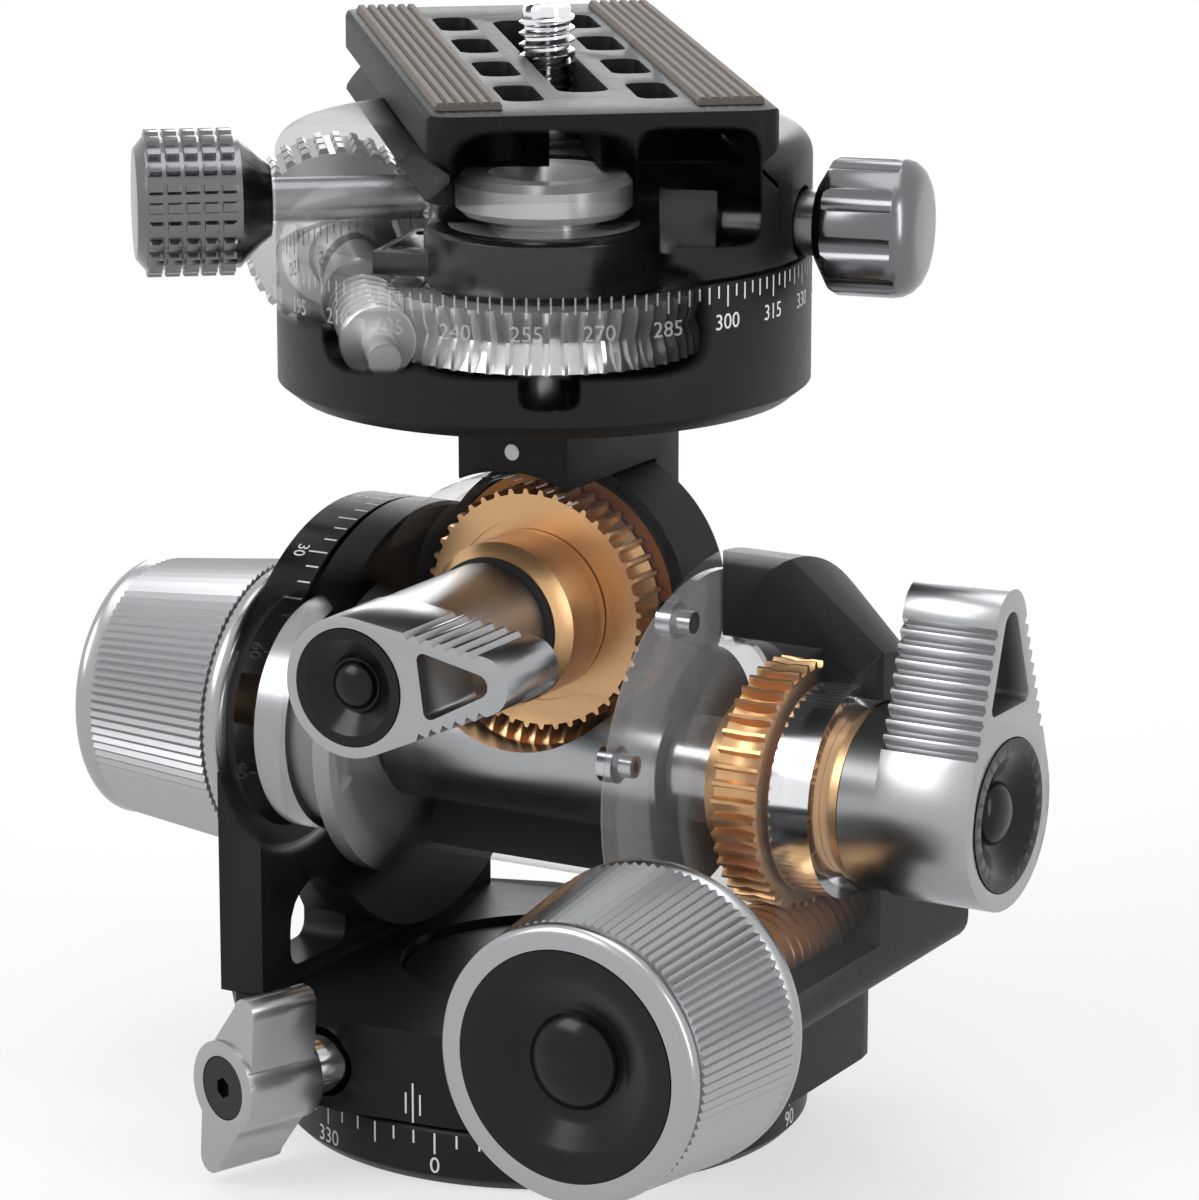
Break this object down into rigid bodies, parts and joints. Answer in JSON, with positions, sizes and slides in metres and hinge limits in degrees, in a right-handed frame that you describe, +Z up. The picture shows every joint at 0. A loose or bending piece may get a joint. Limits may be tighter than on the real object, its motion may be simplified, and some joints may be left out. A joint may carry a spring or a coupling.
{
  "type": "geared tripod head",
  "caption": "Geared tripod head with a panning base, two worm-driven tilt axes with release levers, a geared pan drum and a dovetail clamp with a camera plate.",
  "frame": {"origin": "centre of the base underside, in the mouth of the tripod thread", "axes": "+Z up along the panning axis, +X along the roll axis towards the gearbox, +Y away from the release lever, along the pitch axis"},
  "size_m": [0.1124, 0.1128, 0.1238],
  "materials": {
    "black": "black anodised, fine grain",
    "casting": "dark grey fine texture paint",
    "satin": "satin silver anodised",
    "chrome": "polished",
    "steel": "turned",
    "bronze": "machined bronze",
    "brown": "dark brown lacquer",
    "gunmetal": "satin gunmetal",
    "plastic": "matte black",
    "rubber": "matte black",
    "strip": "taupe grip rubber",
    "clear": "clear"
  },
  "bodies": {
    "base": {"base_ring": "black", "retainer_disc": "black", "retainer_screws": "steel"},
    "pan_bracket": {"pan_bracket": "casting", "gearbox_cover": "clear", "roll_bearing": "steel"},
    "base_lock": {"base_lock_knob": "satin", "base_lock_stud": "chrome", "base_lock_screw": "plastic"},
    "mid_body": {"mid_body": "casting", "mid_cover": "clear", "worm_tube": "satin", "left_trunnion": "steel", "trunnion_ring": "satin", "worm_bush": "bronze", "roll_flange": "clear", "flange_screws": "steel", "roll_hub": "steel", "roll_wheel": "bronze", "roll_sleeve": "bronze", "roll_ring": "bronze", "pitch_washer": "brown"},
    "roll_lever": {"roll_lever": "satin", "roll_lever_cap": "plastic"},
    "roll_worm": {"roll_worm": "bronze", "roll_knob": "satin", "roll_knob_cap": "plastic"},
    "pitch_worm": {"pitch_worm": "bronze", "pitch_knob": "satin", "pitch_knob_cap": "plastic"},
    "top_bracket": {"top_bracket": "black", "pitch_shaft": "steel", "pitch_wheel": "bronze", "pitch_hub": "bronze", "pitch_seal": "rubber", "pan_spindle": "chrome", "cone_nut": "chrome", "pan_wheel": "clear"},
    "pitch_lever": {"pitch_lever": "satin", "pitch_lever_cap": "plastic"},
    "pan_drum": {"pan_drum": "black"},
    "pan_worm": {"pan_worm": "steel", "pan_knob": "clear"},
    "clamp_body": {"clamp_body": "black", "pan_hub": "plastic", "pan_bearing": "steel", "brake_blocks": "plastic"},
    "pan_lock": {"pan_lock_knob": "gunmetal", "pan_lock_screw": "gunmetal"},
    "clamp_jaw": {"clamp_jaw": "black"},
    "clamp_knob": {"clamp_knob": "gunmetal", "clamp_screw": "steel"},
    "camera_plate": {"camera_plate": "black", "grip_strips": "strip"},
    "camera_screw": {"camera_screw": "chrome"}
  },
  "joints": [
    {"name": "base_pan", "type": "hinge", "parent": "base", "child": "pan_bracket", "pos_m": [0, 0, 0.0118], "axis": [0, 0, 1], "continuous": true},
    {"name": "base_lock_turn", "type": "hinge", "parent": "pan_bracket", "child": "base_lock", "pos_m": [-0.01026, -0.02819, 0.01215], "axis": [-0.342, -0.9397, 0], "range_deg": [-90, 90]},
    {"name": "roll", "type": "hinge", "parent": "pan_bracket", "child": "mid_body", "pos_m": [0, 0, 0.0427], "axis": [1, 0, 0], "range_deg": [-30, 30]},
    {"name": "roll_drive", "type": "hinge", "parent": "pan_bracket", "child": "roll_worm", "pos_m": [0.0312, 0, 0.0246], "axis": [0, 1, 0], "range_deg": [-1320, 1320]},
    {"name": "roll_release", "type": "hinge", "parent": "pan_bracket", "child": "roll_lever", "pos_m": [0.05, 0, 0.0427], "axis": [1, 0, 0], "range_deg": [-60, 60]},
    {"name": "pitch", "type": "hinge", "parent": "mid_body", "child": "top_bracket", "pos_m": [0, 0, 0.059], "axis": [0, 1, 0], "range_deg": [-15, 15]},
    {"name": "pitch_drive", "type": "hinge", "parent": "mid_body", "child": "pitch_worm", "pos_m": [0, 0, 0.0427], "axis": [1, 0, 0], "range_deg": [-660, 660]},
    {"name": "pitch_release", "type": "hinge", "parent": "mid_body", "child": "pitch_lever", "pos_m": [0, -0.036, 0.059], "axis": [0, 1, 0], "range_deg": [-60, 60]},
    {"name": "pan_gear", "type": "hinge", "parent": "top_bracket", "child": "pan_drum", "pos_m": [0, 0, 0.09215], "axis": [0, 0, 1], "continuous": true},
    {"name": "pan_drive", "type": "hinge", "parent": "pan_drum", "child": "pan_worm", "pos_m": [-0.01535, -0.01203, 0.09215], "axis": [-0.6142, 0.7833, 0.0958], "continuous": true},
    {"name": "clamp_pan", "type": "hinge", "parent": "pan_drum", "child": "clamp_body", "pos_m": [0, 0, 0.105], "axis": [0, 0, 1], "range_deg": [-18, 95]},
    {"name": "pan_lock_turn", "type": "hinge", "parent": "clamp_body", "child": "pan_lock", "pos_m": [0.03219, 0.00725, 0.104], "axis": [0.9755, 0.2198, 0], "range_deg": [-180, 180]},
    {"name": "jaw_slide", "type": "slide", "parent": "clamp_body", "child": "clamp_jaw", "axis": [-0.7869, -0.617, 0], "range_m": [0, 0.002]},
    {"name": "clamp_screw_turn", "type": "hinge", "parent": "clamp_jaw", "child": "clamp_knob", "pos_m": [-0.02939, -0.01924, 0.1052], "axis": [0.7869, 0.617, 0], "range_deg": [0, 720]},
    {"name": "plate_slide", "type": "slide", "parent": "clamp_body", "child": "camera_plate", "axis": [-0.617, 0.7869, 0], "range_m": [-0.01, 0.01]},
    {"name": "camera_screw_turn", "type": "hinge", "parent": "camera_plate", "child": "camera_screw", "pos_m": [-0.01071, 0.01917, 0.115], "axis": [0, 0, 1], "continuous": true}
  ],
  "couplings": [
    {"joint": "roll_drive", "follows": "roll", "ratio": -44},
    {"joint": "pitch_drive", "follows": "pitch", "ratio": 44},
    {"joint": "pan_drive", "follows": "pan_gear", "ratio": 50},
    {"joint": "clamp_screw_turn", "follows": "jaw_slide", "rad_per_m": 6283.2}
  ]
}
